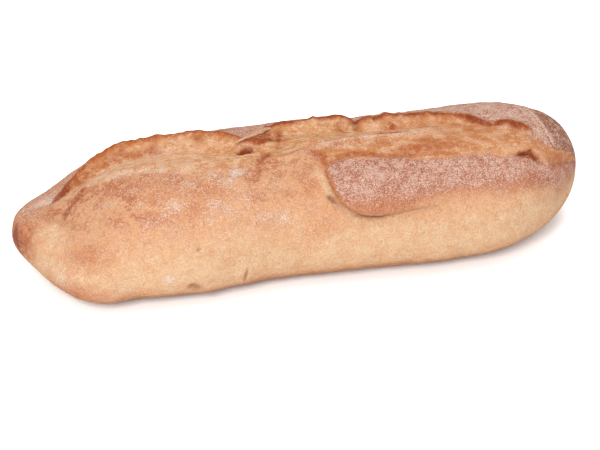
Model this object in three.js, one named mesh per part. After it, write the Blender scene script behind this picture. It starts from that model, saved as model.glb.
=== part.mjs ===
import * as THREE from 'three';
import { mergeVertices } from 'three/addons/utils/BufferGeometryUtils.js';

// farmhouse loaf: one baked body, long axis on X, front on -Y, flat sole on z = 0, mm
const loafLength = 350;
const alongSteps = 94;
const aroundSteps = 52;
const crownPower = 2.2; // squareness of the section above its widest line
const solePower = 2.65; // and below it
const widestAt = 0.38; // widest line, as a share of the section's height
const soleSink = 3; // how far the round underside is pressed flat
const noseBlunt = 5; // bluntness of the left end
const buttBlunt = 4.8; // and of the right end
const noseHeight = 24; // centre of the left end above the sole
const buttHeight = 35; // centre of the right end above the sole

const mmPerDegree = 1.1; // on the unrolled crust
const clamp = (v) => Math.min(Math.max(v, 0), 1);
const ease = (v) => clamp(v) ** 2 * (3 - 2 * clamp(v));

// x, front half-width, rear half-width, crown height, lift of the underside
const stations = [
  [-175, 47, 24, 80, 4],
  [-167, 57, 38, 60.5, 6],
  [-155, 69, 50, 52, 2],
  [-135, 76.5, 57, 56.8, 0],
  [-108, 72, 60, 67.5, 0],
  [-72, 69.5, 61, 71, 0],
  [-30, 61.5, 61, 71.4, 0],
  [15, 60, 61, 72.5, 0],
  [60, 62, 62, 71, 0],
  [110, 62, 65, 73.5, 0],
  [145, 58, 64, 81, 1],
  [165, 49, 55, 88, 5],
  [175, 36, 40, 88, 8],
];

// a slash: x, then degrees from the top (minus is front) of its rim, its foot and its front lip,
// then the rise of the rim and the depth of the foot in mm
const longSlash = [
  [-151, -1, -4, -14, 0, 0],
  [-144.5, 9, 4, -9, 2.2, 1.4],
  [-138, 18, 11, -8, 3.4, 2.8],
  [-128, 26, 17, -7, 4.2, 4],
  [-115, 29, 19, -11, 4.5, 5],
  [-103, 28.5, 18, -17, 5.2, 5.3],
  [-92, 27, 16.5, -23, 4.9, 5.5],
  [-70, 25, 11, -31, 3.6, 5.2],
  [-54, 25.5, 6, -31, 3.6, 4.8],
  [-46, 23.5, 4, -29, 3.1, 4.6],
  [-39.5, 16, 1, -25, 2, 4.3],
  [-33.5, 10, -3, -20, 0.8, 4],
  [-26, 6, -5, -18, 0, 3.2],
  [-12, 5, -9, -19, 0, 2.2],
  [1, 2, -9, -16, 0, 0],
];
const farSlash = [
  [-19, 25, 14, -14, 0, 0],
  [-13, 27, 14, -16, 2.2, 2.4],
  [-4, 27, 14, -14, 3.1, 3.6],
  [7, 26.5, 13, -12, 3.5, 4],
  [20, 26, 14, -8, 3.6, 4.5],
  [35.5, 25.5, 14, -4, 3.8, 4.5],
  [38, 23, 13, -3, 0.8, 4.5],
  [43, 22, 13, -1.5, 2.2, 4.5],
  [58, 25, 13.5, -1, 3.6, 4.5],
  [72, 24.5, 15, -4, 3.2, 3.5],
  [84, 22, 14, -9, 2.5, 2.4],
  [98, 14.5, 9, -22, 2.2, 1.6],
  [110, 6.5, 2, -31, 1.9, 1.4],
  [117.5, -3, -7, -37, 1.2, 1.3],
  [126, -3.5, -11, -39, 2.3, 1.8],
  [132, -8, -14, -41, 2.1, 1.8],
  [139, -19, -24, -42, 1.6, 1.4],
  [148, -45, -50, -62, 0.8, 1.8],
  [160, -48, -56, -68, 0.8, 3],
  [173, -51, -59, -71, 0.8, 3],
];

// degrees over which a rim sinks into the rear crust; the far one is broader towards the right end
const longBack = 6.5;
const farBack = (x) => 5.5 + 5.5 * ease((x - 30) / 40);

// a raised lip: path of x and degrees, rise inside it, gap under it; it starts low and fades out
const flap = {
  path: [[3, -16], [7, -24], [8, -36], [8.2, -45], [10.4, -54], [13.5, -62.5], [19, -68], [26, -71], [36, -72],
    [50, -71], [72, -70], [95, -71]],
  rise: 3.4,
  gap: 0.9,
  edge: 4,
  inside: 24,
  outside: 5,
  startRise: 0.3,
  fadeFrom: 42,
  fadeOver: 45,
};

// ridges (plus) and creases (minus): path, height, half-width in mm
const strokes = [
  { path: [[-38, 4.5], [-29, 9.4], [-20, 17], [-13, 23.5]], height: 1.8, reach: 4 }, // torn strand
  { path: [[-37, -5], [-33.5, -2.5], [-30, -4.5]], height: -2.2, reach: 3.5 }, // pocket
  { path: [[-50, -3.5], [-25, -18], [-9, -20], [1, -14]], height: -1.2, reach: 3 }, // step of the front skin
  { path: [[-14, 1], [-9, -8], [-4, -14]], height: -1.3, reach: 5 }, // hollow beside the step
  { path: [[-66, 46], [-54, 44], [-42, 42]], height: -2.6, reach: 9 }, // back falls away behind the rims
  { path: [[26, 44], [36, 42], [50, 44], [62, 46]], height: -2.2, reach: 8 },
  { path: [[36, 23], [38, 15]], height: -1.3, reach: 3.5 }, // notch in the far rim
  { path: [[36.5, 25], [40, 32], [41, 42]], height: -4, reach: 5 },
  { path: [[5, -16], [26, -11.5], [51, -8.2], [72, -12]], height: 1.1, reach: 3.5 }, // light lip and its crevice
  { path: [[48, -3], [61, -7]], height: -1.2, reach: 3 },
  { path: [[6, -30], [14.5, -32.5], [31, -28], [56, -34], [88, -36]], height: -0.9, reach: 3.5 }, // above the flap
  { path: [[-140.5, -30], [-138, -21], [-133.5, -11.5], [-128.5, -4]], height: 2.6, reach: 3 }, // folds by the nose
  { path: [[-146, -48], [-141.5, -28], [-131, -12]], height: -2.4, reach: 3 },
  { path: [[-172.6, -32], [-173.6, -62], [-173, -97]], height: -1.4, reach: 3 }, // nose seam
  { path: [[125, -45], [135, -44], [141, -55]], height: -2.6, reach: 3.5 }, // crevice by the blunt end
  { path: [[145, 26], [149, -8], [152, -41]], height: 1, reach: 2.5 }, // end fold
  { path: [[166.2, -47], [167.4, -49]], height: 2.4, reach: 2.5 }, // nub
  { path: [[-46, -101], [-44.8, -93], [-43.5, -76]], height: -0.5, reach: 2 }, // fine split
  { path: [[-80, -98.5], [-72, -102]], height: -2, reach: 3.5 }, // chip by the sole
  { path: [[-70, -105], [-66, -104]], height: 1.8, reach: 3 },
];

// smooth curve through one column of a table whose first column is x
function through(rows, column, x) {
  const last = rows.length - 1;
  let i = 0;
  while (i < last - 1 && x > rows[i + 1][0]) i += 1;
  const at = (k) => rows[Math.min(Math.max(k, 0), last)];
  const slope = (k) => {
    const a = at(k - 1);
    const b = at(k + 1);
    return (b[column] - a[column]) / (b[0] - a[0]);
  };
  const p = rows[i];
  const q = rows[i + 1];
  const h = q[0] - p[0];
  const s = clamp((x - p[0]) / h);
  const bend = s * (1 - s) * h * ((1 - s) * slope(i) - s * slope(i + 1));
  return p[column] + (q[column] - p[column]) * ease(s) + bend;
}

// distance in mm from a point to a path on the unrolled crust; side is +1 to the left of its run
function toPath(path, x, degrees) {
  let best = { distance: 1e9, side: 1, share: 0 };
  for (let i = 0; i < path.length - 1; i += 1) {
    const [ax, ay] = [path[i][0], path[i][1] * mmPerDegree];
    const [bx, by] = [path[i + 1][0] - ax, path[i + 1][1] * mmPerDegree - ay];
    const [px, py] = [x - ax, degrees * mmPerDegree - ay];
    const s = clamp((px * bx + py * by) / (bx * bx + by * by));
    const distance = Math.hypot(px - s * bx, py - s * by);
    const side = bx * py - by * px < 0 ? -1 : 1;
    if (distance < best.distance) best = { distance, side, share: (i + s) / (path.length - 1) };
  }
  return best;
}

// the torn opening of a slash: hollow from lip to foot, steep wall, rim, then the rear crust
function slashRelief(rows, x, degrees, back) {
  if (x <= rows[0][0] || x >= rows[rows.length - 1][0]) return 0;
  const [rim, foot, lip, rise, depth] = [1, 2, 3, 4, 5].map((c) => through(rows, c, x));
  if (degrees > rim) return rise * Math.exp(-(((degrees - rim) / back) ** 2));
  if (degrees > foot) return (rise + depth) * ease((degrees - foot) / (rim - foot)) - depth;
  return -depth * ease((degrees - lip) / (foot - lip));
}

function flapRelief(x, degrees) {
  const { distance, side, share } = toPath(flap.path, x, degrees);
  const lift = flap.startRise + (1 - flap.startRise) * ease((share - 0.1) * 5);
  const ends = ease(share * 9) * ease(1 - (x - flap.fadeFrom) / flap.fadeOver) * lift;
  const inner = Math.exp(-((distance / flap.inside) ** 2));
  const outer = Math.exp(-((distance / flap.outside) ** 2));
  if (side < 0) return -ends * flap.gap * outer;
  return ends * ((flap.rise + flap.gap) * ease(distance / flap.edge) - flap.gap) * inner;
}

function strokeRelief(x, degrees) {
  return strokes.reduce((sum, stroke) => {
    const { distance, share } = toPath(stroke.path, x, degrees);
    const ends = 0.3 + 0.7 * ease(4 * share) * ease(4 - 4 * share);
    return sum + stroke.height * ends * Math.exp(-((distance / stroke.reach) ** 2));
  }, 0);
}

// low swellings of the crumb under the crust
function swelling(x, degrees) {
  const a = (degrees * Math.PI) / 180;
  return 0.5 * Math.sin(x / 23 + 2 * a) + 0.4 * Math.sin(x / 13 - 3 * a + 1) + 0.3 * Math.sin(x / 37 + 5 * a + 2);
}

function crustPoint(x, degrees) {
  const half = loafLength / 2;
  const end = Math.sqrt(clamp(1 - Math.abs(x / half) ** (x < 0 ? noseBlunt : buttBlunt)));
  const [front, rear, crown, lift] = [1, 2, 3, 4].map((c) => through(stations, c, x));
  const core = x < 0 ? noseHeight : buttHeight;
  const top = core + (crown - core) * end;
  const bottom = core + (lift - core) * end;
  const middle = bottom + (top - bottom) * widestAt;
  const sin = Math.sin((degrees * Math.PI) / 180);
  const cos = Math.cos((degrees * Math.PI) / 180);
  const power = cos >= 0 ? crownPower : solePower;
  const across = (sin < 0 ? front : rear) * end;
  const upright = cos >= 0 ? top - middle : middle - bottom + soleSink * end;
  if (end < 1e-6) return new THREE.Vector3(x, 0, core);
  const radius = ((Math.abs(sin) / across) ** power + (Math.abs(cos) / upright) ** power) ** (-1 / power);
  const above = clamp((cos + 0.55) * 2.2);
  const relief = slashRelief(longSlash, x, degrees, longBack) + slashRelief(farSlash, x, degrees, farBack(x))
    + flapRelief(x, degrees) + strokeRelief(x, degrees) + swelling(x, degrees);
  const r = radius + relief * ease(end * 1.4) * above;
  return new THREE.Vector3(x, r * sin, Math.max(middle + r * cos, 0));
}

// grid position to x and degrees: close rows at the ends, close columns over the crown
function crustPlace(u, v) {
  const p = 2 * u - 1;
  const w = 2 * v - 1;
  return {
    x: (loafLength / 2) * p * (1 + (1 - p ** 6) / 6),
    degrees: 180 * (w - 0.13 * Math.sin(Math.PI * w)) - 18 * (1 - w * w),
  };
}

function loafBody() {
  const geometry = new THREE.SphereGeometry(1, aroundSteps, alongSteps);
  const position = geometry.attributes.position;
  const uv = geometry.attributes.uv;
  for (let i = 0; i < position.count; i += 1) {
    const row = Math.round((1 - uv.getY(i)) * alongSteps);
    const column = Math.floor(i % (aroundSteps + 1));
    const { x, degrees } = crustPlace(row / alongSteps, column / aroundSteps);
    const point = crustPoint(x, degrees);
    position.setXYZ(i, point.x, point.y, point.z);
  }
  geometry.deleteAttribute('normal');
  geometry.deleteAttribute('uv');
  const body = mergeVertices(geometry, 1e-4);
  body.computeBoundingBox();
  const box = body.boundingBox;
  body.translate(-(box.min.x + box.max.x) / 2, -(box.min.y + box.max.y) / 2, -box.min.z);
  body.computeVertexNormals();
  return body;
}

function crustMaterial() {
  return new THREE.MeshStandardMaterial({ color: '#d29c68', roughness: 0.82, metalness: 0 });
}

const part = new THREE.Group();
part.name = 'farmhouse_loaf';
const loaf = new THREE.Mesh(loafBody(), crustMaterial());
loaf.name = 'loaf';
part.add(loaf);

export default part;
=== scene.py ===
import math
import bpy
import bmesh
from types import SimpleNamespace
import numpy as np
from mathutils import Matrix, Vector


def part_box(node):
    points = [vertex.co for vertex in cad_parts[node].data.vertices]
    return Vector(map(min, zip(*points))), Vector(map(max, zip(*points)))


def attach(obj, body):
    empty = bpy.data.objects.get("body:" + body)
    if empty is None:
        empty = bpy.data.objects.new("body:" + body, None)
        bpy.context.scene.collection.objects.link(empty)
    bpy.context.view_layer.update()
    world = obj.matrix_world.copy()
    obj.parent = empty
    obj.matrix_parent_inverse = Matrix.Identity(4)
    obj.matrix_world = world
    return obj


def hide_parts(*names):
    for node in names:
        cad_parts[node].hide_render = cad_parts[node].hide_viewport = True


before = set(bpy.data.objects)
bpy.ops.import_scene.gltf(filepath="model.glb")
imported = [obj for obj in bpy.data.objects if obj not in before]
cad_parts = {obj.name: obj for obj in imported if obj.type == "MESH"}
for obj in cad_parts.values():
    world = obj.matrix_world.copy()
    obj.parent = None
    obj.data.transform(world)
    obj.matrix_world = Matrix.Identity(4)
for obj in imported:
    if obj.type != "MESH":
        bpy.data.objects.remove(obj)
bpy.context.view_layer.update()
mm = 0.001

# the loaf's own sizes in mm: long axis on X, front on -Y, degrees are counted from the top, minus is front
loaf = {
    "length": 350.0,
    "rings": 400,
    "segments": 248,
    "crownPower": 2.2,
    "solePower": 2.65,
    "widestAt": 0.38,
    "soleSink": 3.0,
    "noseBlunt": 5.0,
    "buttBlunt": 4.8,
    "noseHeight": 24.0,
    "buttHeight": 35.0,
    "mmPerDegree": 1.1,
    "finestAt": -20.0,  # degrees where the columns lie closest
    "evenColumns": 105.0,
    "soleColumns": 75.0,
}

# x, front half-width, rear half-width, crown height, lift of the underside
stations = [
    (-175, 47, 24, 80, 4), (-167, 57, 38, 60.5, 6), (-155, 69, 50, 52, 2), (-135, 76.5, 57, 56.8, 0),
    (-108, 72, 60, 67.5, 0), (-72, 69.5, 61, 71, 0), (-30, 61.5, 61, 71.4, 0), (15, 60, 61, 72.5, 0),
    (60, 62, 62, 71, 0), (110, 62, 65, 73.5, 0), (145, 58, 64, 81, 1), (165, 49, 55, 88, 5),
    (175, 36, 40, 88, 8),
]

# a slash: x, degrees of its rim, foot and front lip, then rise of the rim, depth of the foot, overhang
longSlash = [
    (-151, -1, -4, -14, 0, 0, 0), (-144.5, 9, 4, -9, 2.2, 1.4, 0.8), (-138, 18, 11, -8, 3.4, 2.8, 1.5),
    (-128, 26, 17, -7, 4.2, 4, 2), (-115, 29, 19, -11, 4.5, 5, 2.5), (-103, 28.5, 18, -17, 5.2, 5.3, 2.8),
    (-92, 27, 16.5, -23, 4.9, 5.5, 2.8), (-70, 25, 11, -31, 3.6, 5.2, 2.5),
    (-54, 25.5, 6, -31, 3.6, 4.8, 2), (-46, 23.5, 4, -29, 3.1, 4.6, 1.8),
    (-39.5, 16, 1, -25, 2.0, 4.3, 1.4), (-33.5, 10, -3, -20, 0.8, 4, 1), (-26, 6, -5, -18, 0, 3.2, 0),
    (-12, 5, -9, -19, 0, 2.2, 0), (1, 2, -9, -16, 0, 0, 0),
]
farSlash = [
    (-19, 25, 14, -14, 0, 0, 0), (-13, 27, 14, -16, 2.2, 2.4, 1), (-4, 27, 14, -14, 3.1, 3.6, 1.8),
    (7, 26.5, 13, -12, 3.1, 4, 2.2), (20, 26, 14, -8, 3.0, 4.5, 2.4), (35.5, 25.5, 14, -4, 3.3, 4.5, 2.4),
    (38, 23, 13, -3, 0.8, 4.5, 0.6), (43, 22, 13, -1.5, 2.2, 4.5, 1.2), (58, 25, 13.5, -1, 3.6, 4.5, 2.4),
    (72, 24.5, 15, -4, 3.2, 3.5, 2.4), (84, 22, 14, -9, 2.5, 2.4, 2), (98, 14.5, 9, -22, 2.2, 1.6, 1.8),
    (110, 6.5, 2, -31, 1.9, 1.4, 1.6), (117.5, -4, -8, -37, 1.2, 1.3, 1), (121, -5, -10, -38, 1.2, 1.3, 1),
    (126, -5.8, -12, -39, 2.3, 1.8, 2.2), (132, -9.5, -15, -41, 2.1, 1.8, 2),
    (139, -19, -24, -42, 1.6, 1.4, 1.4), (143, -35, -39, -50, 1.0, 1.0, 0.6),
    (148, -45, -50, -62, 0.8, 1.8, 0.4), (160, -48, -56, -68, 0.8, 3.0, 0.2),
    (173, -51, -59, -71, 0.8, 3.0, 0),
]
rimBack = {"long": 6.5, "far": 5.5, "farEnd": 5.5}

# edges of the finishes, x and degrees
flapTop = [
    (4, -38), (8, -45), (10.5, -40), (14, -35.5), (21, -31.5), (37, -32.5), (48, -34.5), (62, -36.5),
    (85, -38.5), (110, -41), (128, -46), (140, -53), (150, -57), (172, -58),
]
stretchTop = [
    (2, -14), (14, -11), (21, -9.5), (35, -6.5), (45, -4), (60, -6), (75, -8), (96, -20), (125, -38),
]

flap = {
    "path": [(3, -16), (7, -24), (8, -36), (8.2, -45), (10.4, -54), (13.5, -62.5), (19, -68), (26, -71),
             (36, -72), (50, -71), (72, -70), (95, -71), (120, -74), (145, -78), (168, -80)],
    "rise": 3.4,
    "gap": 0.7,
    "edge": 2.2,
    "inside": 24.0,
    "outside": 4.0,
    "overhang": 1.8,
    "startRise": 0.3,
    "fadeFrom": 42.0,
    "fadeOver": 45.0,
}

# ridges and creases: path, height and half-width in mm, then how its skin bakes and how much shade is painted
# into its hollows
strokes = [
    # meeting of the slashes: brown hollows under the torn strand, ridge, pocket, ledge, folds, tears; the
    # dark in the pocket and the tears is deep brown and painted shade, the dark in the valley crease and the
    # wide hollow is painted shade
    {"path": [(-32, 4), (-27, 6.5), (-22.5, 10), (-18.5, 14), (-14, 18)], "height": 0.2, "reach": 3.0,
     "brown": 0.8, "ruddy": 1.0},
    {"path": [(-29, 2.5), (-24.5, 2.5), (-20, 5.5), (-15.5, 9.5)], "height": -0.4, "reach": 3.0,
     "brown": 0.85, "ruddy": 1.0},
    {"path": [(-10.5, 20), (-10.5, 15), (-12.5, 4), (-14.5, -3)], "height": 0.9, "reach": 1.8,
     "brown": 0.75},
    {"path": [(-37.2, -5), (-35, -2.5), (-32.3, -2), (-30, -4.5)], "height": -2.2, "reach": 2.9,
     "deepBrownAndShade": 0.4, "brown": 1.6, "ruddy": 1.0},
    {"path": [(-39, 3.5), (-34.5, 2.5), (-29.5, 1.5), (-24, -3.5)], "height": 0.8, "reach": 1.5,
     "pale": 0.8, "flour": 0.2},
    {"path": [(-26.5, -18.5), (-23, -16.5), (-19, -14)], "height": 1.0, "reach": 1.8, "brown": 0.3},
    {"path": [(-50, -3.5), (-38, -11), (-25, -18), (-15.4, -20.5), (-9, -20), (-4, -17.5), (1, -14)],
     "height": -1.5, "reach": 1.3, "deepBrownAndShade": 0.1},
    {"path": [(-14, 1), (-9, -8), (-4, -14)], "height": -1.3, "reach": 5.0, "deepBrownAndShade": 0.06},
    {"path": [(-24, -22), (-15, -24), (-9, -23.5), (-3, -20.5), (3, -17)], "height": 0.9, "reach": 1.8,
     "pale": 0.3},
    {"path": [(-42.5, 23), (-39, 19.5), (-36, 12.5)], "height": -1.0, "reach": 1.5, "deepBrownAndShade": 0.25,
     "brown": 0.7},
    {"path": [(-19, -15.5), (-23.5, -19), (-27.4, -24), (-29.9, -32.5), (-31, -38)], "height": -0.4,
     "reach": 1.8, "brown": 0.6, "ruddy": 0.5},
    # the back falls away behind both rims; the far rim starts bold
    {"path": [(-66, 46), (-54, 44), (-42, 42)], "height": -2.6, "reach": 9.0},
    {"path": [(26, 44), (36, 42), (50, 44), (62, 46)], "height": -2.2, "reach": 8.0},
    {"path": [(-14, 25.5), (-6, 26), (4, 25.5)], "height": 0.3, "reach": 2.4, "brown": 0.9},
    # split across the long slash's wall and the hollow beside it, browned as painted shade
    {"path": [(-62.5, 23), (-64.4, 18), (-66.5, 14)], "height": 1.3, "reach": 0.9, "pale": 1.0},
    {"path": [(-60.5, 23), (-60, 19), (-56, 15.5)], "height": -0.8, "reach": 2.8, "brown": 0.35},
    # folds and creases by the nose, and its seam; the dark in the fold's groove and the brown line along the
    # long wall's foot are painted shade
    {"path": [(-140.5, -30), (-138, -21), (-133.5, -11.5), (-128.5, -4)], "height": 2.6, "reach": 1.7,
     "brown": 0.6},
    {"path": [(-146, -48), (-144.5, -38), (-141.5, -28), (-137, -21), (-131, -12)], "height": -2.6,
     "reach": 1.5, "deepBrownAndShade": 0.14},
    {"path": [(-151, -2), (-147, 4), (-143, 9), (-138, 15)], "height": -0.6, "reach": 1.5, "brown": 0.9,
     "deepBrownAndShade": 0.15},
    {"path": [(-172.6, -32), (-173.6, -62), (-173, -97), (-170.5, -104)], "height": -1.4, "reach": 1.3,
     "deepBrownAndShade": 0.3, "brown": 1.5},
    # far slash: light lip in front, its crevice, notch in the rim, patches, fold and hollow; the dark in the
    # crevice and the notch is deep brown and painted shade
    {"path": [(5, -16), (14, -14), (26, -11.5), (39, -9.2), (51.5, -8.2), (60, -10), (72, -12)],
     "height": 1.1, "reach": 2.8, "flour": 0.5, "dusky": 0.25, "pale": 0.4},
    {"path": [(48, -3), (52, -4), (56, -5.2), (61, -7)], "height": -1.8, "reach": 1.1, "deepBrownAndShade": 0.6,
     "brown": 0.9},
    {"path": [(36, 23), (37, 19), (38, 15)], "height": -1.3, "reach": 2.2, "deepBrownAndShade": 0.2, "brown": 0.4},
    {"path": [(36.5, 24), (40, 33), (41.5, 52)], "height": -4.6, "reach": 5.5},
    {"path": [(42, 16), (47, 17), (54, 17.5)], "height": 1.0, "reach": 2.0, "pale": 1.0},
    {"path": [(58, 17), (62, 17)], "height": 0.6, "reach": 2.2, "brown": 0.8, "ruddy": 1.0},
    {"path": [(24, 3), (26.5, 14), (27, 22)], "height": 0.9, "reach": 1.3, "brown": 0.35},
    {"path": [(31, 21), (30, 14), (28, -4)], "height": -0.4, "reach": 3.0, "brown": 0.25},
    # flap: crease above it, gaps and pale skin round its lip, then baked lines up to the blunt end; the dark
    # in the gaps under the lip is painted shade
    {"path": [(6, -30), (10, -34), (14.5, -32.5), (23, -28.5), (31, -28), (44, -31), (56, -34), (68, -35),
     (88, -36)], "height": -0.9, "reach": 2.8, "ruddy": 1.0, "brown": 0.45},
    {"path": [(3, -19), (8, -27), (13, -32)], "height": -0.3, "reach": 2.6, "ruddy": 1.0, "brown": 0.5},
    {"path": [(7.4, -58), (9, -60), (11.2, -62.4)], "height": -3.0, "reach": 1.4, "deepBrownAndShade": 0.34},
    {"path": [(22, -70.5), (28, -71.5), (36, -72.5), (41, -71.5)], "height": -1.6, "reach": 1.2,
     "deepBrownAndShade": 0.4},
    {"path": [(3.5, -36), (5.5, -46), (8, -54), (9, -60)], "height": 0.2, "reach": 2.2, "pale": 1.0},
    {"path": [(11, -63), (18, -70.5), (28, -74)], "height": 0.2, "reach": 2.4, "pale": 0.2},
    {"path": [(20, -30.5), (28, -30.5), (38, -29.5), (50, -32.5), (60, -32.5), (74, -31.5)], "height": -0.5,
     "reach": 1.6, "ruddy": 1.0, "brown": 0.3},
    {"path": [(69, -19), (76, -22), (86, -21.5)], "height": 0.2, "reach": 3.5, "brown": 0.35},
    {"path": [(104, 10), (110, 6), (116.5, -3), (118, -4.5)], "height": 0.3, "reach": 1.8, "brown": 1.0,
     "deepBrownAndShade": 0.1},
    {"path": [(118.5, -5.2), (122, -6), (127, -7.4), (132, -11), (137, -17)], "height": 0.5, "reach": 2.4,
     "brown": 1.0, "deepBrownAndShade": 0.12},
    # blunt end: crevice, light folds, nub and nick; the dark in the crevice and the nick is deep brown and
    # painted shade
    {"path": [(125, -45), (129, -44), (135, -44), (137.5, -50), (141, -55)], "height": -2.8, "reach": 1.9,
     "deepBrownAndShade": 0.25, "brown": 1.0},
    {"path": [(128, -45.5), (131.5, -46), (134.5, -50)], "height": -0.6, "reach": 2.6, "brown": 1.0,
     "ruddy": 1.0},
    {"path": [(135, -41.5), (135.5, -42.5)], "height": -0.8, "reach": 1.2, "deepBrownAndShade": 0.8},
    {"path": [(110, 4), (114.6, -2), (122, -8), (129, -12), (135.6, -18.5)], "height": -0.2, "reach": 1.7,
     "pale": 0.9},
    {"path": [(145, 26), (147.1, 9.5), (149, -8.5), (150.6, -24.5), (152.1, -41)], "height": 1.1,
     "reach": 0.8, "pale": 1.0, "flour": 0.8},
    {"path": [(139, 27), (143, 16), (145.2, 2), (145.8, -13)], "height": 0.7, "reach": 0.7, "pale": 0.9,
     "flour": 0.7},
    {"path": [(152, 24), (153, 0), (154, -24)], "height": -0.7, "reach": 2.0, "brown": 0.3},
    {"path": [(166.2, -47), (167.4, -49)], "height": 2.4, "reach": 1.4, "brown": 0.8},
    {"path": [(168, -50), (172, -45)], "height": -2.2, "reach": 2.0, "brown": 0.5},
    # front: fine split, chip and bump by the sole, blister, pit; the dark in the split, the chip and the pit
    # is painted shade in these recesses
    {"path": [(-46.2, -102), (-45.6, -98), (-44.8, -93)], "height": -0.6, "reach": 0.7, "deepBrownAndShade": 0.5},
    {"path": [(-44.8, -93), (-44, -86), (-43.5, -76)], "height": 0.3, "reach": 0.8, "pale": 0.5},
    {"path": [(-80, -98.5), (-77, -98), (-72, -102)], "height": -2.2, "reach": 2.0, "brown": 0.4,
     "deepBrownAndShade": 0.22},
    {"path": [(-70, -105), (-66, -104)], "height": 1.8, "reach": 2.6, "brown": 0.5},
    {"path": [(-93, -92), (-89.5, -91)], "height": 0.7, "reach": 2.6, "flour": 1.0, "pale": 1.0},
    {"path": [(-73.6, -77), (-73, -78.5)], "height": -0.7, "reach": 0.9, "deepBrownAndShade": 0.5},
]

# broad stains of the bake, and one patch of painted shade in the hollow by (-1, 8): x, degrees, half-sizes in
# mm and degrees, then what they add
stains = [
    (-107, -15, 8, 4, {"flour": 0.5}), (-98, -18, 8, 4, {"flour": 0.55}), (-87, -24, 8, 5, {"flour": 0.6}),
    (-74, -41, 7, 5, {"flour": 0.5}), (-44, -34, 7, 5, {"flour": 0.9}), (-49, -41, 8, 5, {"flour": 0.7}),
    (-58, -36, 7, 5, {"flour": 0.5}), (-84, -54, 9, 5, {"flour": 0.72}), (-102, -50, 5, 4, {"flour": 0.5}),
    (-60, -57, 6, 4, {"flour": 0.55}), (-53, -60, 6, 4, {"flour": 0.5}), (-65, -65, 8, 4, {"flour": 0.4}),
    (-30, -64, 10, 4, {"flour": 0.48}), (-21, -68, 9, 4, {"flour": 0.44}),
    (-59, -73, 6, 4, {"flour": 0.35}), (-72, -71, 6, 4, {"flour": 0.34}),
    (-99, -66, 22, 12, {"flour": 0.25}), (-85, -34, 34, 14, {"flour": 0.28}),
    (-40, -56, 20, 12, {"flour": 0.25}), (-118, -44, 8, 5, {"flour": 0.4}),
    (-84, -33, 18, 8, {"ruddy": 0.8}), (-67, -45, 16, 9, {"ruddy": 1.0}), (-92, -45, 18, 9, {"ruddy": 0.8}),
    (-74, -56, 16, 6, {"ruddy": 0.8}), (-65, -53, 8, 6, {"ruddy": 0.8}), (-44, -48, 7, 5, {"ruddy": 0.4}),
    (-54, -26, 9, 5, {"ruddy": 0.8}), (-100, -27, 20, 7, {"ruddy": 1.0}), (-115, -12, 10, 4, {"pale": 0.9}),
    # the dark patch at (-1, 8) is painted shade in the hollow where the slashes meet
    (12, 7, 12, 7, {"pale": 0.6}), (-1, 8, 6, 6, {"deepBrownAndShade": 0.14}),
    (-34, 24, 8, 7, {"ruddy": 0.8, "brown": 0.2}), (-76, 17.5, 10, 5, {"flour": 0.35}),
    (-136, -75, 14, 7, {"ruddy": 0.9, "brown": 0.22}), (-146, -82, 7, 5, {"ruddy": 0.6}),
    (-143, -95, 20, 7, {"ruddy": 1.0, "brown": 0.36}), (-118, -101, 18, 5, {"ruddy": 1.0}),
    (0, -77, 8, 7, {"ruddy": 0.6}), (-6, -85, 8, 6, {"ruddy": 0.4}), (-2, -52, 6, 7, {"ruddy": 0.9}),
    (-165, -15, 8, 22, {"flour": 0.45, "dusky": 0.6}), (-154, 8, 10, 16, {"flour": 0.55, "dusky": 0.5}),
    (-95, -36, 13, 6, {"ruddy": 1.0, "brown": 0.2}), (-168, -62, 5, 34, {"ruddy": 1.0, "brown": 0.5}),
    (-171.5, -80, 3, 28, {"brown": 0.9}), (-153, -60, 8, 16, {"pale": 1.0}),
    (-163, -74, 3, 16, {"pale": 0.8}), (-24, -50, 9, 6, {"pale": 0.3}), (-152, -86, 8, 6, {"flour": 0.45}),
    (-43, -47, 5, 4, {"pale": 0.9}), (-121, 5, 11, 6, {"pale": 1.0, "flour": 0.6}),
    (-88, 17, 8, 3, {"ruddy": 1.0, "brown": 0.25}), (-134, 6, 5, 6, {"pale": 0.7}),
    (14, -33, 7, 5, {"ruddy": 1.0, "brown": 0.4}), (22, -18, 14, 6, {"flour": 0.42, "ruddy": 0.8}),
    (44, -16, 20, 7, {"flour": 0.2, "ruddy": 0.9}), (94, -6, 30, 8, {"ruddy": 0.4}),
    (74, -7, 12, 6, {"pale": 0.8, "flour": 0.25}), (70, -28, 22, 5, {"ruddy": 1.0, "brown": 0.4}),
    (141, -29, 5, 6, {"flour": 0.62, "dusky": 0.5}), (159, -70, 14, 16, {"flour": 0.95, "dusky": 0.85}),
    (143, -62, 9, 8, {"flour": 0.6, "dusky": 1.0}),
]

# torn strand that lies free over the meeting of the slashes: x, degrees, height, half-width, half-thickness
strand = [
    (-39.4, 4.6, -1.2, 0.5, 0.3), (-34, 6.5, 0.8, 1.4, 0.7), (-29, 9.9, 1.1, 1.9, 0.9),
    (-24.5, 14, 0.9, 2.1, 1.0), (-20, 18.8, 0.7, 2.1, 1.0), (-16, 22.4, 0.5, 1.8, 0.9),
    (-12, 24.6, -0.3, 1.2, 0.6),
]

# uneven crust in layers: height in mm, size in mm, seed
layers = {
    "rim": [(0.8, 6.5, 3), (0.5, 2.6, 4)],
    "lumps": [(0.35, 9, 11), (0.2, 4.2, 12), (0.12, 2.1, 13)],
    "flapEdge": [(2.5, 11, 30), (1.6, 5, 31), (1.2, 2.2, 32)],
    "stainAlong": [(2.5, 8, 21), (2.0, 3.5, 23)],
    "stainRound": [(2.0, 8, 22), (2.0, 3.5, 24)],
}

# slow swells of the whole crust: height in mm, mm along the loaf, turns round it, offset
swells = [(0.5, 23, 2, 0), (0.4, 13, -3, 1), (0.3, 37, 5, 2)]

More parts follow.
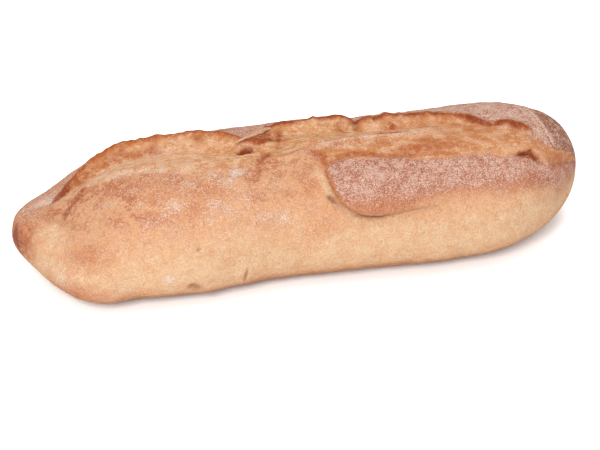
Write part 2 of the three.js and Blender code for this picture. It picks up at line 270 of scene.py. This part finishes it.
# how much of each finish the bake leaves, 0 to 1, and what is added or taken towards the blunt end and nose
bake = {
    "flapFlour": 0.56,
    "flapFlourLow": 0.46,
    "rearFlour": 0.46,
    "rearFlourBlunt": 0.26,
    "rearFlourNose": 0.1,
    "farEndFlour": 0.34,
    "rearDusk": 0.7,
    "rearDuskBlunt": 0.3,
    "rearDuskNose": 0.4,
    "rearRuddy": 0.5,
    "openedRuddy": 0.55,
    "lowToast": 0.35,
    "soleTop": 15.0,  # mm above the surface where the sole's colour ends
}

strandForm = {
    "rings": 72,
    "segments": 24,
    "blunt": 8,
    "droop": 0.25,
    "rough": 0.25,
}


def ease(v):
    v = np.clip(v, 0, 1)
    return v * v * (3 - 2 * v)


def hump(v):
    return np.exp(-np.square(v))


def through(rows, column, x):  # smooth curve through one column of a table
    table = np.array(rows, float)
    at, value = table[:, 0], table[:, column]
    last = len(at) - 1
    back = np.clip(np.arange(len(at)) - 1, 0, None)
    ahead = np.clip(np.arange(len(at)) + 1, None, last)
    slope = (value[ahead] - value[back]) / (at[ahead] - at[back])
    i = np.clip(np.searchsorted(at, x) - 1, 0, last - 1)
    gap = at[i + 1] - at[i]
    share = np.clip((x - at[i]) / gap, 0, 1)
    bend = share * (1 - share) * gap * ((1 - share) * slope[i] - share * slope[i + 1])
    return value[i] + (value[i + 1] - value[i]) * ease(share) + bend


def toPath(path, x, degrees):  # distance to a path in mm, side of it, share of its way, offset from it
    scale = loaf["mmPerDegree"]
    best = np.full(x.shape, np.inf)
    side, share, offX, offY = (np.zeros(x.shape) for _ in range(4))
    for i in range(len(path) - 1):
        startX, startY = path[i][0], path[i][1] * scale
        alongX, alongY = path[i + 1][0] - startX, path[i + 1][1] * scale - startY
        fromX, fromY = x - startX, degrees * scale - startY
        part = np.clip((fromX * alongX + fromY * alongY) / (alongX * alongX + alongY * alongY), 0, 1)
        awayX, awayY = fromX - part * alongX, fromY - part * alongY
        distance = np.hypot(awayX, awayY)
        near = distance < best
        best = np.where(near, distance, best)
        side = np.where(near, np.where(alongX * fromY - alongY * fromX < 0, -1.0, 1.0), side)
        share = np.where(near, (i + part) / (len(path) - 1), share)
        offX, offY = np.where(near, awayX, offX), np.where(near, awayY, offY)
    return best, side, share, offX, offY


def wander(points, size, seed):  # smooth noise from -1 to 1, each call drawn from its own seed
    cells = 32
    lattice = np.random.default_rng(seed).uniform(-1, 1, (cells, cells, cells))
    scaled = points / size
    cell = np.floor(scaled).astype(int)
    part = ease(scaled - cell)
    total = np.zeros(len(points))
    for corner in range(8):
        step = np.array((corner & 1, corner >> 1 & 1, corner >> 2 & 1))
        share = np.where(step, part, 1 - part)
        spot = (cell + step) % cells
        total += share[:, 0] * share[:, 1] * share[:, 2] * lattice[spot[:, 0], spot[:, 1], spot[:, 2]]
    return total


def rough(points, name):
    return sum(height * wander(points, size, seed) for height, size, seed in layers[name])


def bakedForm(x, degrees, relief):
    blunt = np.where(x < 0, loaf["noseBlunt"], loaf["buttBlunt"])
    end = np.sqrt(np.clip(1 - np.abs(x / (loaf["length"] / 2)) ** blunt, 0, 1))
    front, rear, crown, lift = (through(stations, c, x) for c in (1, 2, 3, 4))
    core = np.where(x < 0, loaf["noseHeight"], loaf["buttHeight"])
    top = core + (crown - core) * end
    bottom = core + (lift - core) * end
    middle = bottom + (top - bottom) * loaf["widestAt"]
    sin, cos = np.sin(np.radians(degrees)), np.cos(np.radians(degrees))
    power = np.where(cos >= 0, loaf["crownPower"], loaf["solePower"])
    across = np.maximum(np.where(sin < 0, front, rear) * end, 1e-6)
    upright = np.maximum(np.where(cos >= 0, top - middle, middle - bottom + loaf["soleSink"] * end), 1e-6)
    radius = ((np.abs(sin) / across) ** power + (np.abs(cos) / upright) ** power) ** (-1 / power)
    # relief fades out over the sole and into both tips
    above = np.clip((cos + 0.55) * 2.2, 0, 1)
    radius = np.where(end < 1e-4, 0, radius + relief * ease(end * 1.4) * above)
    return np.stack([x, radius * sin, np.maximum(middle + radius * cos, 0)], 1)


def slashMarks(rows, x, degrees, jag, back):
    inside = (x > rows[0][0]) & (x < rows[-1][0])
    rim, foot, lip, rise, depth, over = (through(rows, c, x) for c in (1, 2, 3, 4, 5, 6))
    strength = np.where(inside, np.clip((rise + depth) / 3, 0, 1), 0)
    rim = rim + jag * 0.8 * strength
    rise = rise + jag * 0.7 * strength
    behind = rise * hump((degrees - rim) / back)
    wall = (rise + depth) * ease((degrees - foot) / (rim - foot)) - depth
    valley = -depth * ease((degrees - lip) / (foot - lip))
    relief = np.where(degrees > rim, behind, np.where(degrees > foot, wall, valley))
    lean = -over * hump((degrees - rim) / 5) * strength
    opened = ease((degrees - lip + 3) / 6) * ease((rim - degrees + 0.6) / 1.2) * strength
    climb = np.clip((degrees - foot) / (rim - foot), 0, 1) * (degrees < rim + 1.5) * strength
    edge = np.where(degrees > rim, hump((degrees - rim) / 1.6), hump((degrees - rim) / 3.4)) * strength
    line = hump((degrees - rim + 0.7) / 1.9) * strength
    return {"relief": np.where(inside, relief, 0), "lean": np.where(inside, lean, 0), "opened": opened,
            "climb": climb, "edge": edge, "line": line, "rim": rim}


def flapMarks(x, degrees, solid):
    distance, side, share, offX, offY = toPath(flap["path"], x, degrees)
    worn = ease((x - flap["fadeFrom"]) / flap["fadeOver"])
    start = flap["startRise"] + (1 - flap["startRise"]) * ease((share - 0.1) * 5)
    ends = ease(share * 9) * (1 - worn) * start
    lifted = (flap["rise"] + flap["gap"]) * ease(distance / flap["edge"]) - flap["gap"]
    relief = ends * np.where(side > 0, lifted * hump(distance / flap["inside"]),
                             -flap["gap"] * hump(distance / flap["outside"]))
    push = -flap["overhang"] * ends * (side > 0) * hump((distance - 2.2) / 2.0) / np.maximum(distance, 0.3)
    ragged = rough(solid, "flapEdge")
    below = through(flapTop, 1, x) - degrees + ragged
    inner = ease((distance - 1.6 + 0.4 * ragged * worn) / (2.4 + 9 * worn))
    dusted = (side > 0) * inner * ease((below + 1) / 4.5) * ease((x - 3) / 4)
    lipped = (side > 0) * hump((distance - 2.1) / 1.6) * (1 - worn) * ease(share * 9)
    stretched = (side > 0) * ease((through(stretchTop, 1, x) - degrees) / 3) * ease((1 - below) / 3)
    stretched = stretched * ease((x - 2) / 8) * ease((130 - x) / 6)
    # gap marks the groove just outside the lip, which is later darkened as painted shade
    return {"relief": relief, "leanX": push * offX, "leanY": push * offY, "dusted": dusted, "lip": lipped,
            "stretched": stretched, "low": ease((-56 - degrees) / 13),
            "gap": (side < 0) * hump(distance / 1.3) * ends}


def strokeMarks(x, degrees, marks):
    relief = np.zeros(len(x))
    for stroke in strokes:
        distance, _, share, _, _ = toPath(stroke["path"], x, degrees)
        shape = (0.3 + 0.7 * ease(4 * share) * ease(4 - 4 * share)) * hump(distance / stroke["reach"])
        relief += stroke["height"] * shape
        for name in marks:
            marks[name] = np.maximum(marks[name], stroke.get(name, 0) * np.minimum(shape * 1.3, 1))
    return relief


def stainMarks(x, degrees, solid, marks):
    x = x + rough(solid, "stainAlong")
    degrees = degrees + rough(solid, "stainRound")
    for atX, atDegrees, long, wide, adds in stains:
        shape = hump(np.hypot((x - atX) / long, (degrees - atDegrees) / wide))
        for name, amount in adds.items():
            marks[name] = np.maximum(marks[name], amount * shape)


def addUnevenness(relief, x, degrees, solid, alongOnly, opened, torn):
    turn = np.radians(degrees)
    relief += sum(height * np.sin(x / along + turns * turn + offset)
                  for height, along, turns, offset in swells)
    relief += 1.3 * wander(alongOnly, 11, 17) * hump((degrees + 106) / 13)
    relief += rough(solid, "lumps")
    # lumps are coarser on torn walls and drawn out along the loaf there
    drawn = solid * np.array([0.4, 1, 1])
    coarse = wander(drawn, 3.0, 14) + 0.6 * wander(solid, 2.4, 15)
    relief += torn * coarse + 0.3 * opened * wander(drawn, 2.4, 16)


def crustMasks(x, degrees, solid, long, far, lobe, marks, opened, climb, torn):
    ownRim = np.where(x < -24, long["rim"], far["rim"])
    bold = 1 - 0.85 * ease((x - 140) / 8)
    thin = 1 + 1.2 * ease((x - 80) / 20)
    rear = ease((degrees - ownRim - 1.5) / 4) * ease((122 - degrees) / 45) * ease((x + 175) / 9)
    low = hump((degrees + 90) / 17) + 0.9 * hump((degrees - 98) / 20)
    shelf = long["opened"] * (1 - ease(climb * 6)) * ease((-20 - x) / 60)
    ragged = degrees + 2.2 * wander(solid, 3.2, 33)
    streak = hump((ragged - through(longSlash, 2, x) - 3) / 2.4) * long["opened"] * ease((-78 - x) / 12)
    crumb = hump((long["climb"] - 0.43 + 0.2 * wander(solid, 4, 34)) / 0.24)
    crumb = hump((x + 76) / 22) * crumb * long["opened"]
    farEnd = ease((x - 146 + 2.5 * wander(solid, 6, 35)) / 6)
    bandTop = np.where(x > 120, far["rim"], -90)
    lowFlap = lobe["low"] * lobe["dusted"]

    longRim = 0.85 * ease((long["climb"] - 0.35) / 0.5) * long["opened"] + long["edge"] ** 2 * 0.6
    farRim = bold * far["edge"] ** (1.5 * thin)
    flapRim = 0.9 * lobe["lip"] * (1 - 0.6 * lobe["low"])
    browning = (0.55 * streak + 0.15 * lobe["lip"] + 0.2 * lowFlap + 0.5 * long["line"]
                + bold * far["line"] ** thin)
    # painted shade in the gap under the flap's lip, and deeper brown along both rim lines
    gapShadeAndRimBrown = 0.12 * lobe["gap"] + 0.2 * bold * far["line"] ** 2 + 0.15 * long["line"] ** 2
    flapFlour = lobe["dusted"] * (bake["flapFlour"] - bake["flapFlourLow"] * lobe["low"])
    rearFlour = (bake["rearFlour"] + bake["rearFlourBlunt"] * ease((x - 50) / 40)
                 - bake["rearFlourNose"] * ease((-115 - x) / 15)) * rear * ease((110 - degrees) / 30)
    rearDusk = (bake["rearDusk"] + bake["rearDuskBlunt"] * ease((x - 60) / 60)
                - bake["rearDuskNose"] * ease((-115 - x) / 20)) * rear
    floured = np.maximum(marks["flour"], flapFlour) + rearFlour - bake["farEndFlour"] * farEnd
    dusky = np.maximum(marks["dusky"], rearDusk) + lobe["dusted"] * (1 - 0.6 * lobe["low"])
    lowToast = bake["lowToast"] * ease((-57 - degrees) / 4) * ease((degrees + 100) / 30)
    toast = np.maximum(ease((degrees - bandTop - 1) / 4), lowToast) * ease((100 - degrees) / 30)
    ruddy = 0.9 * lowFlap + bake["rearRuddy"] * rear + bake["openedRuddy"] * opened * ease((x - 40) / 60)
    return {
        "opened": opened,
        "torn": torn,
        "rimmed": np.clip(farRim + longRim + flapRim - 0.9 * crumb - 0.5 * marks["pale"], 0, 1),
        "browned": np.maximum(marks["brown"], np.clip(marks["brown"] + browning, 0, 1)),
        "pale": np.clip(marks["pale"] + low * (1 - opened) + shelf + 0.9 * crumb, 0, 1),
        "floured": np.clip(floured, 0, 1),
        # deep brown and painted shade in creases, gaps and hollows
        "creased": np.clip(marks["deepBrownAndShade"] + gapShadeAndRimBrown, 0, 1),
        "ruddy": np.clip(marks["ruddy"] + ruddy, 0, 1),
        "dusky": np.clip(dusky, 0, 1),
        "topped": ease((degrees + 75) / 50) * ease((110 - degrees) / 50),
        "toasted": farEnd * toast * (1 - 0.9 * marks["pale"]),
        "soled": ease((bake["soleTop"] - solid[:, 2] + 2.5 * wander(solid, 6, 36)) / 7),
    }


def shapeLoaf(rows, columns):
    # rings crowd at both tips and columns round the crown
    along = rows * 2 - 1
    x = loaf["length"] / 2 * along * (1 + (1 - along ** 6) / 6)
    degrees = loaf["finestAt"] + loaf["evenColumns"] * columns + loaf["soleColumns"] * columns ** 5
    none = np.zeros(len(x))
    solid = bakedForm(x, degrees, none)
    alongOnly = np.stack([x, none, none], 1)
    jag = rough(alongOnly, "rim")
    long = slashMarks(longSlash, x, degrees, jag, rimBack["long"])
    far = slashMarks(farSlash, x, degrees, jag, rimBack["far"] + rimBack["farEnd"] * ease((x - 30) / 40))
    lobe = flapMarks(x, degrees, solid)
    marks = dict.fromkeys(("brown", "deepBrownAndShade", "pale", "flour", "ruddy", "dusky"), none)
    relief = long["relief"] + far["relief"] + lobe["relief"] + strokeMarks(x, degrees, marks)
    stainMarks(x, degrees, solid, marks)

    opened = np.clip(long["opened"] + far["opened"] + lobe["stretched"], 0, 1)
    climb = np.maximum(long["climb"], far["climb"])
    torn = ease(climb * 4) * ease((1.02 - climb) * 5)
    addUnevenness(relief, x, degrees, solid, alongOnly, opened, torn)
    leanY = long["lean"] + far["lean"] + lobe["leanY"]
    points = bakedForm(x + lobe["leanX"], degrees + leanY / loaf["mmPerDegree"], relief)
    return points, crustMasks(x, degrees, solid, long, far, lobe, marks, opened, climb, torn)


def shapeStrand(rows, columns):
    table = np.array(strand)
    at = rows * (len(table) - 1)
    x, degrees, height, wide, thick = (np.interp(at, np.arange(len(table)), table[:, c]) for c in range(5))
    slope = np.gradient(table[:, 1]) * loaf["mmPerDegree"] / np.gradient(table[:, 0])
    lean = np.interp(at, np.arange(len(table)), slope)
    taper = np.sqrt(np.clip(1 - (2 * rows - 1) ** strandForm["blunt"], 0, 1))
    across, over = np.cos(columns * math.pi) * wide * taper, np.sin(columns * math.pi) * thick * taper
    body = np.stack([x, across, over], 1)
    droop = strandForm["droop"] * across ** 2 / np.maximum(wide, 0.1)
    height = height + over - droop + strandForm["rough"] * wander(body, 2.2, 41)
    across = across * (1 + strandForm["rough"] * wander(body, 3.1, 42))
    points = bakedForm(x - across * lean / np.hypot(1, lean),
                       degrees + across / np.hypot(1, lean) / loaf["mmPerDegree"], height)
    top = ease((np.sin(columns * math.pi) + 0.2) * 1.5)
    none = np.zeros(len(x))
    masks = dict.fromkeys(("opened", "torn", "rimmed", "creased", "topped", "toasted", "soled"), none)
    masks.update(pale=0.4 * top, floured=0.4 * top, dusky=0.2 * top)
    masks.update(browned=0.85 * (1 - top), ruddy=0.3 + none)
    return points, masks


def meshPiece(name, rings, segments):
    bpy.ops.object.select_all(action="DESELECT")
    bpy.ops.mesh.primitive_uv_sphere_add(segments=segments, ring_count=rings, radius=1,
                                         location=(0, 0, 0), rotation=(0, math.pi / 2, 0))
    piece = bpy.context.object
    piece.name = piece.data.name = name
    bpy.ops.object.transform_apply(location=True, rotation=True, scale=True)
    unit = np.empty(len(piece.data.vertices) * 3)
    piece.data.vertices.foreach_get("co", unit)
    unit = unit.reshape(-1, 3)
    rows = np.arccos(np.clip(-unit[:, 0], -1, 1)) / math.pi
    columns = np.arctan2(unit[:, 1], unit[:, 2]) / math.pi
    return piece, rows, np.where(np.hypot(unit[:, 1], unit[:, 2]) < 1e-7, 0, columns)


def finishPiece(piece, points, masks):
    mesh = piece.data
    mesh.vertices.foreach_set("co", (points * mm).ravel())
    for name, mask in masks.items():
        layer = mesh.attributes.new(name, "FLOAT", "POINT")
        layer.data.foreach_set("value", mask.astype(np.float32))
    mesh.update()
    check = bmesh.new()
    check.from_mesh(mesh)
    if check.calc_volume(signed=True) < 0:
        bpy.ops.object.mode_set(mode="EDIT")
        bpy.ops.mesh.select_all(action="SELECT")
        bpy.ops.mesh.normals_make_consistent(inside=False)
        bpy.ops.object.mode_set(mode="OBJECT")
    print(piece.name, len(mesh.polygons), "faces, volume in ml", round(abs(check.calc_volume()) * 1e6, 2))
    check.free()
    bpy.ops.object.shade_smooth()


def loafCrust():
    piece, rows, columns = meshPiece("loafCrust", loaf["rings"], loaf["segments"])
    points, masks = shapeLoaf(rows, columns)
    low, high = (np.array(c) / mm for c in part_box("loaf"))
    print("loaf before fitting, mm:", points.min(0).round(2), points.max(0).round(2), "cad", low, high)
    middle = (points.max(0) + points.min(0)) / 2
    fit = np.minimum((high - low) / (points.max(0) - points.min(0)), 1)
    shift = (low + high) / 2 - middle * fit
    shift[2] = low[2] - points[:, 2].min() * fit[2]
    finishPiece(piece, points * fit + shift, masks)
    return piece, fit, shift


def tornStrand(fit, shift):
    piece, rows, columns = meshPiece("tornStrand", strandForm["rings"], strandForm["segments"])
    points, masks = shapeStrand(rows, columns)
    finishPiece(piece, points * fit + shift, masks)
    return piece


class Wire:
    def __init__(self, tree, socket):
        self.tree, self.socket = tree, socket

    def math(self, operation, *others):
        node = self.tree.nodes.new("ShaderNodeMath")
        node.operation = operation
        for slot, value in zip(node.inputs, others):
            feed(self.tree, slot, value)
        return Wire(self.tree, node.outputs[0])

    def __add__(self, other):
        return self.math("ADD", self, other)

    def __sub__(self, other):
        return self.math("SUBTRACT", self, other)

    def __rsub__(self, other):
        return self.math("SUBTRACT", other, self)

    def __mul__(self, other):
        return self.math("MULTIPLY", self, other)

    __radd__ = __add__
    __rmul__ = __mul__

    def clamp(self):
        wire = self.math("ADD", self, 0.0)
        wire.socket.node.use_clamp = True
        return wire

    def ramp(self, low, high):
        node = self.tree.nodes.new("ShaderNodeMapRange")
        node.interpolation_type = "SMOOTHSTEP"
        self.tree.links.new(self.socket, node.inputs["Value"])
        node.inputs["From Min"].default_value = low
        node.inputs["From Max"].default_value = high
        return Wire(self.tree, node.outputs["Result"])


def feed(tree, slot, value):
    if isinstance(value, Wire):
        tree.links.new(value.socket, slot)
    else:
        slot.default_value = value


class Recipe:
    def __init__(self, name):
        self.material = bpy.data.materials.new(name)
        self.material.use_nodes = True
        self.tree = self.material.node_tree
        self.tree.nodes.clear()

    def node(self, kind, settings=None, out=0, **inputs):
        node = self.tree.nodes.new(kind)
        for name, value in (settings or {}).items():
            setattr(node, name, value)
        for name, value in inputs.items():
            feed(self.tree, node.inputs[name.replace("_", " ")], value)
        return Wire(self.tree, node.outputs[out])

    def mask(self, name):
        return self.node("ShaderNodeAttribute", {"attribute_name": name}, out="Fac")

    def noise(self, size, detail, roughness, at=None):
        return self.node("ShaderNodeTexNoise", Vector=at or self.place, Scale=1 / size, Detail=detail,
                         Roughness=roughness)

    def stretched(self, share):
        wire = self.node("ShaderNodeVectorMath", {"operation": "MULTIPLY"}, Vector=self.place)
        wire.socket.node.inputs[1].default_value = share
        return wire

    def mix(self, amount, first, second, kind="MIX"):
        node = self.tree.nodes.new("ShaderNodeMix")
        node.data_type = "RGBA"
        node.blend_type = kind
        for slot, value in ((node.inputs[0], amount), (node.inputs[6], first), (node.inputs[7], second)):
            feed(self.tree, slot, value)
        return Wire(self.tree, node.outputs[2])

    def finish(self, shader):
        out = self.tree.nodes.new("ShaderNodeOutputMaterial")
        self.tree.links.new(shader.socket, out.inputs["Surface"])
        return self.material


def tone(colour, light):
    def linear(v):
        v = v / 255
        return (v / 12.92 if v <= 0.04045 else ((v + 0.055) / 1.055) ** 2.4) * light
    return (*(linear(v) for v in colour), 1)


# colours of the crust as they are seen
crustColours = {
    "gold": (240, 184, 142),
    "rose": (202, 119, 82),
    "cream": (241, 199, 158),
    "shelf": (246, 194, 156),
    "openedGold": (226, 158, 105),
    "openedLight": (251, 203, 158),
    "tornGold": (224, 160, 113),
    "rim": (206, 120, 66),
    "brown": (174, 82, 40),
    # deep brown of crevices, also laid on as painted shade in gaps, grooves, pits and hollows
    "deepBrownAndShade": (104, 38, 22),
    "ruddy": (211, 126, 82),
    "flour": (240, 207, 190),
    "freshFlour": (244, 217, 200),
    "under": (193, 121, 95),
    "toast": (136, 78, 53),
    "sole": (212, 146, 102),
}

# noises over the crust: size in metres, detail, roughness
crustNoises = {
    "broad": (0.024, 3, 0.55),
    "patch": (0.0075, 4, 0.62),
    "blotch": (0.0030, 3, 0.65),
    "crumble": (0.0016, 3, 0.7),
    "grain": (0.0008, 2, 0.7),
    "streak": (0.0016, 3, 0.6),
    "speck": (0.0017, 1, 0.5),
    "pits": (0.0030, 4, 0.7),
}

crustLook = {
    "light": 0.518,  # share of the seen brightness that is the crust's own
    "streakStretch": (0.2, 1, 1),
    # tint of the painted shade in the bump's pits
    "pitShadeTint": (0.80, 0.693, 0.58, 1),
    "bumpHeight": 0.0020,
    "roughness": 0.82,
    "brownShine": 0.22,
    "specular": 0.08,
}


def plainSkin(recipe, shades, mask, noise):  # cream low down to rose on top
    uneven = ((noise.broad - 0.5) * 0.8 + (noise.mottle - 0.5) * 1.5 + (noise.blotch - 0.5) * 0.8
              + (noise.crumble - 0.5) * 0.35)
    rosy = mask.topped * 0.46 + uneven * (1.25 + mask.topped * 0.55 - mask.pale * 0.7)
    colour = recipe.mix(rosy.clamp(), shades["gold"], shades["rose"])
    ruddy = (mask.ruddy * (noise.mottle + noise.blotch * 0.4)).clamp() * 0.8
    colour = recipe.mix(ruddy, colour, shades["ruddy"])
    light = mask.pale * (1 - mask.ruddy * 0.85)
    creamy = light * 0.9 + (noise.mottle - 0.5) * 0.6 + (noise.blotch - 0.5) * 0.4
    return recipe.mix(creamy.clamp(), colour, shades["cream"])


def openedSkin(recipe, shades, mask, noise):  # streaked along the loaf, rougher and darker on torn walls
    lit = noise.streak * 1.2 + noise.mottle * 1.2 - 0.7
    golden = recipe.mix(lit.clamp(), shades["openedGold"], shades["openedLight"])
    golden = recipe.mix((mask.torn * (noise.blotch * 1.4 - 0.2)).clamp(), golden, shades["tornGold"])
    ruddy = (mask.ruddy * (noise.streak * 0.7 + noise.blotch * 0.8 - 0.1)).clamp() * 0.9
    golden = recipe.mix(ruddy, golden, shades["ruddy"])
    pale = mask.pale * (0.1 + noise.mottle * 0.6 + noise.blotch * 0.6)
    return recipe.mix(pale.clamp(), golden, shades["shelf"])


def bakedSkin(recipe, shades, mask, noise, colour):  # rims, browned skin, sole and toasted end
    rimmed = mask.rimmed * (0.4 + noise.blotch * 0.7 + noise.crumble * 0.3)
    colour = recipe.mix(rimmed.clamp(), colour, shades["rim"])
    browned = mask.browned * (0.45 + noise.blotch * 0.65 + noise.crumble * 0.35)
    colour = recipe.mix(browned.clamp(), colour, shades["brown"])
    soled = mask.soled * (0.3 + noise.mottle * 0.7 + noise.blotch * 0.3)
    colour = recipe.mix(soled.clamp(), colour, shades["sole"])
    return recipe.mix(mask.toasted * (0.7 + noise.blotch * 0.3), colour, shades["toast"])


def flouredAndCreaseShadedSkin(recipe, shades, mask, noise, colour):  # flour in specks, then the deep brown of the creases and painted shade in gaps and hollows
    under = recipe.mix(mask.dusky * (1 - mask.toasted * 0.8), colour, shades["under"])
    weathered = (noise.blotch - 0.5) * mask.dusky * mask.topped * 0.2
    dusting = (noise.grain + noise.patch * 0.45 + mask.floured * 0.4 - 0.425 + weathered).ramp(0.34, 0.66)
    thick = (0.54 + mask.floured * (0.42 - mask.dusky * 0.16)) * (1 - mask.browned * 0.6).clamp()
    flour = recipe.mix(mask.dusky, shades["freshFlour"], shades["flour"])
    colour = recipe.mix(dusting * thick, under, flour)
    speck = noise.speck.ramp(0.64, 0.72) * (0.35 + mask.floured + mask.topped * 0.2) * (1 - mask.opened * 0.7)
    colour = recipe.mix((speck * 0.8).clamp(), colour, shades["flour"])
    return recipe.mix((mask.creased * 1.1).clamp(), colour, shades["deepBrownAndShade"])


def shadedPitsAndGrainySkin(recipe, mask, noise, colour):  # painted shade, warm-tinted, darkens the bump's pits, the mottle darkens it in blotches, and all of it is grainy
    pitShadeAndMottle = (1 - noise.pits.ramp(0.34, 0.62)) * 0.6 + (1 - noise.mottle) * 0.4
    colour = recipe.mix(pitShadeAndMottle * (0.74 - mask.pale * 0.4), colour, crustLook["pitShadeTint"], "MULTIPLY")
    lively = (0.36 + mask.topped * 0.15 + mask.ruddy * (1 - mask.opened) * 0.26 + mask.dusky * 0.1
              - mask.torn * 0.16)
    return recipe.mix(1.0, colour, noise.grain.ramp(0.25, 0.75) * lively + (1.03 - lively * 0.5), "MULTIPLY")


def crustMaterial():
    recipe = Recipe("bakedCrust")
    recipe.place = recipe.node("ShaderNodeTexCoord", out="Object")
    shades = {name: tone(colour, crustLook["light"]) for name, colour in crustColours.items()}
    names = ("opened", "torn", "rimmed", "browned", "pale", "floured", "dusky", "creased", "ruddy", "topped",
             "toasted", "soled")
    mask = SimpleNamespace(**{name: recipe.mask(name) for name in names})
    drawn = recipe.stretched(crustLook["streakStretch"])
    noise = SimpleNamespace(**{name: recipe.noise(*values, at=drawn if name == "streak" else None)
                               for name, values in crustNoises.items()})
    noise.broad = noise.broad.ramp(0.3, 0.7)
    noise.mottle = noise.patch.ramp(0.36, 0.64)
    noise.blotch = noise.blotch.ramp(0.36, 0.64)
    noise.crumble = noise.crumble.ramp(0.36, 0.64)
    noise.streak = noise.streak.ramp(0.34, 0.66)

    colour = plainSkin(recipe, shades, mask, noise)
    colour = recipe.mix(mask.opened, colour, openedSkin(recipe, shades, mask, noise))
    colour = bakedSkin(recipe, shades, mask, noise, colour)
    colour = flouredAndCreaseShadedSkin(recipe, shades, mask, noise, colour)
    colour = shadedPitsAndGrainySkin(recipe, mask, noise, colour)
    bump = recipe.node("ShaderNodeBump", Strength=1.0, Distance=crustLook["bumpHeight"],
                       Height=noise.pits * 0.9 + noise.grain * 0.3)
    rough = (crustLook["roughness"] - mask.browned * crustLook["brownShine"]).clamp()
    shader = recipe.node("ShaderNodeBsdfPrincipled", Base_Color=colour, Roughness=rough, Normal=bump,
                         Specular_IOR_Level=crustLook["specular"])
    return recipe.finish(shader)


studio = {
    "azimuth": -12.0,
    "elevation": 30.0,
    "distance": 1.25,
    "lens": 124.0,
    "sensor": 36,
    "clipEnd": 50,
    "aim": (-0.0031, -0.0132, 0.0208),
    "floor": (0.97, 0.97, 0.97, 1),
    "floorSize": 6,
    "floorDrop": 0.0002,
    "floorRoughness": 0.9,
    "sky": (1.0, 1.0, 1.0, 1),
    "skyStrength": 0.98,
    # name, place, size and power
    "lamps": [("frontSoft", (-0.6, -1.3, 1.0), 0.7, 30), ("topSoft", (0.3, 0.2, 1.6), 1.0, 12)],
}


def studioFloor():
    bpy.ops.mesh.primitive_plane_add(size=studio["floorSize"], location=(0, 0, -studio["floorDrop"]))
    floor = bpy.context.object
    floor.name = "floor"
    recipe = Recipe("paleFloor")
    shader = recipe.node("ShaderNodeBsdfPrincipled", Base_Color=studio["floor"],
                         Roughness=studio["floorRoughness"])
    floor.data.materials.append(recipe.finish(shader))


def softLight(name, place, size, power):  # a round lamp that faces the loaf
    bpy.ops.object.light_add(type="AREA", location=place)
    lamp = bpy.context.object
    lamp.name = name
    lamp.data.shape = "DISK"
    lamp.data.size = size
    lamp.data.energy = power
    x, y, z = place
    lamp.rotation_euler = (math.atan2(math.hypot(x, y), z), 0, math.atan2(y, x) + math.pi / 2)


def studioCamera():
    turn, rise = math.radians(studio["azimuth"]), math.radians(studio["elevation"])
    toCamera = np.array([math.sin(turn) * math.cos(rise), -math.cos(turn) * math.cos(rise), math.sin(rise)])
    place = np.array(studio["aim"]) + toCamera * studio["distance"]
    bpy.ops.object.camera_add(location=place, rotation=(math.pi / 2 - rise, 0, turn))
    camera = bpy.context.object
    camera.data.lens = studio["lens"]
    camera.data.sensor_width = studio["sensor"]
    camera.data.clip_end = studio["clipEnd"]
    bpy.context.scene.camera = camera


def studioWorld():
    world = bpy.data.worlds.new("softRoom")
    bpy.context.scene.world = world
    world.use_nodes = True
    background = world.node_tree.nodes["Background"]
    background.inputs["Color"].default_value = studio["sky"]
    background.inputs["Strength"].default_value = studio["skyStrength"]
    bpy.context.scene.view_settings.view_transform = "Standard"


crust, fit, shift = loafCrust()
torn = tornStrand(fit, shift)
baked = crustMaterial()
for piece in (crust, torn):
    piece.data.materials.append(baked)
    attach(piece, "root")
    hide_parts("loaf")
print("crust done")
studioFloor()
for lamp in studio["lamps"]:
    softLight(*lamp)
studioWorld()
studioCamera()
print("studio done")
